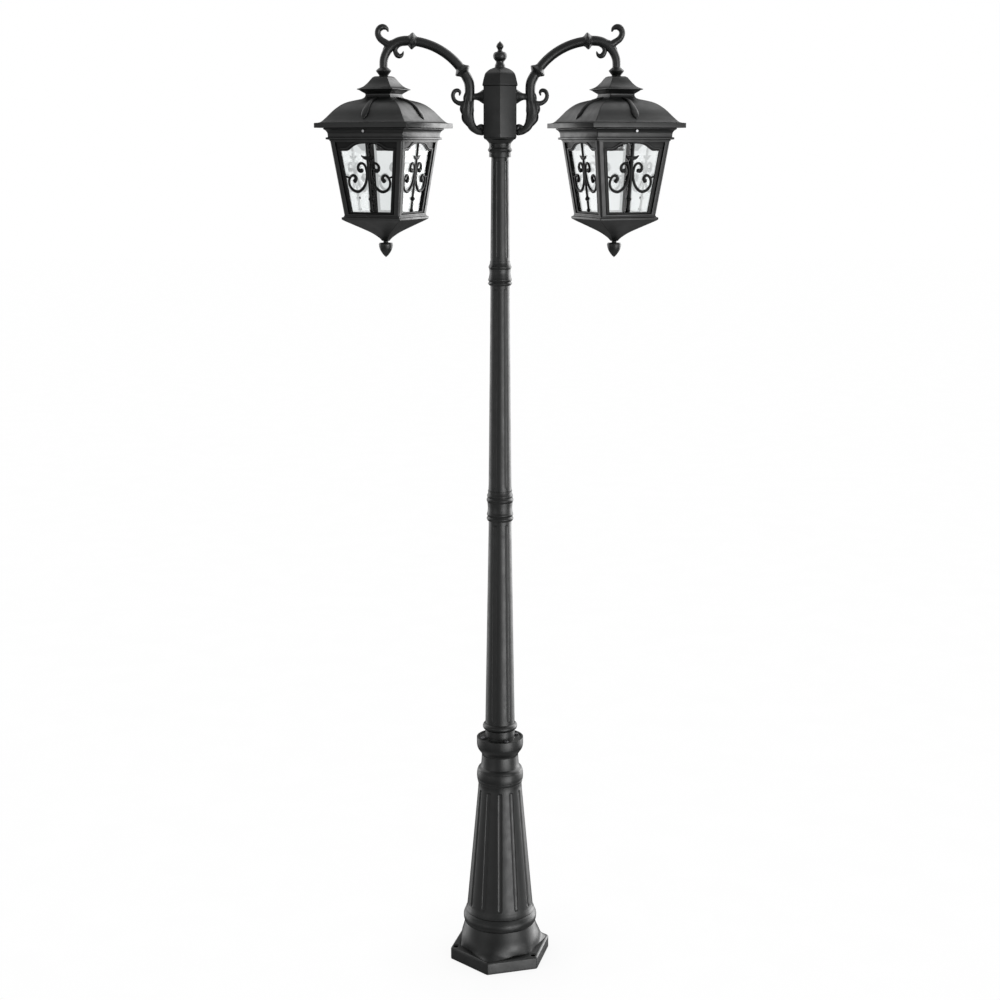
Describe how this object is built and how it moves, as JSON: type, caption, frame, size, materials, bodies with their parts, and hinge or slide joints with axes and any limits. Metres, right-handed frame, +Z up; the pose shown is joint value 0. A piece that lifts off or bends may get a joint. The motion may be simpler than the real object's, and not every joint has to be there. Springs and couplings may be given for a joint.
{
  "type": "street lamp post",
  "caption": "Fluted street lamp post on a hexagonal foot, with scrolled side arms carrying square glazed lanterns that swivel on their stems and open for relamping.",
  "frame": {"origin": "centre of the foot, on the ground plane under the column", "axes": "+Z up the column, the arms lie along X with the left lantern at -X, the front of the post faces -Y"},
  "size_m": [0.9242, 0.3422, 2.4951],
  "materials": {
    "black_coat": "satin",
    "bare_aluminium": "satin",
    "zinc_steel": "satin",
    "stainless": "polished",
    "glass": "gloss",
    "holder_plastic": "satin",
    "terminal_plastic": "satin",
    "cable_rubber": "matte"
  },
  "bodies": {
    "post": {"base_column": "black_coat", "pole_flange": "black_coat", "flange_bolts": "zinc_steel", "lower_shaft": "black_coat", "middle_shaft": "black_coat", "upper_shaft": "black_coat", "middle_collar": "black_coat", "upper_collar": "black_coat", "middle_sleeve": "bare_aluminium", "upper_sleeve": "bare_aluminium", "collar_screws": "zinc_steel", "head_box": "black_coat", "head_cap": "black_coat", "head_finial": "black_coat", "terminal_block": "terminal_plastic", "supply_cable": "cable_rubber", "arm_nipples": "zinc_steel", "arm_nuts": "zinc_steel", "tail_screws": "zinc_steel", "left_arm_tube": "black_coat", "left_arm_elbow": "black_coat", "left_arm_bracket": "black_coat", "left_arm_lead": "cable_rubber", "right_arm_tube": "black_coat", "right_arm_elbow": "black_coat", "right_arm_bracket": "black_coat", "right_arm_lead": "cable_rubber"},
    "left_lantern": {"left_stem_nipple": "zinc_steel", "left_knuckle": "black_coat", "left_roof_cap": "black_coat", "left_roof": "black_coat", "left_roof_nut": "zinc_steel", "left_lamp_holder": "holder_plastic", "left_hinge_pin": "stainless"},
    "left_cage": {"left_cornice": "black_coat", "left_cage_screw": "stainless", "left_cage_frame": "black_coat", "left_face_panels": "black_coat", "left_glass_panes": "glass", "left_bottom_pan": "black_coat", "left_pan_finial": "black_coat", "left_finial_nut": "zinc_steel"},
    "right_lantern": {"right_stem_nipple": "zinc_steel", "right_knuckle": "black_coat", "right_roof_cap": "black_coat", "right_roof": "black_coat", "right_roof_nut": "zinc_steel", "right_lamp_holder": "holder_plastic", "right_hinge_pin": "stainless"},
    "right_cage": {"right_cornice": "black_coat", "right_cage_screw": "stainless", "right_cage_frame": "black_coat", "right_face_panels": "black_coat", "right_glass_panes": "glass", "right_bottom_pan": "black_coat", "right_pan_finial": "black_coat", "right_finial_nut": "zinc_steel"}
  },
  "joints": [
    {"name": "left_swivel", "type": "hinge", "parent": "post", "child": "left_lantern", "pos_m": [-0.291, 0, 2.4], "axis": [0, 0, 1], "range_deg": [-170, 170]},
    {"name": "left_cage_hinge", "type": "hinge", "parent": "left_lantern", "child": "left_cage", "pos_m": [-0.24178, 0.11054, 2.233], "axis": [0.9135, -0.4067, 0], "range_deg": [0, 85]},
    {"name": "right_swivel", "type": "hinge", "parent": "post", "child": "right_lantern", "pos_m": [0.291, 0, 2.4], "axis": [0, 0, 1], "range_deg": [-170, 170]},
    {"name": "right_cage_hinge", "type": "hinge", "parent": "right_lantern", "child": "right_cage", "pos_m": [0.24178, 0.11054, 2.233], "axis": [0.9135, 0.4067, 0], "range_deg": [0, 85]}
  ]
}
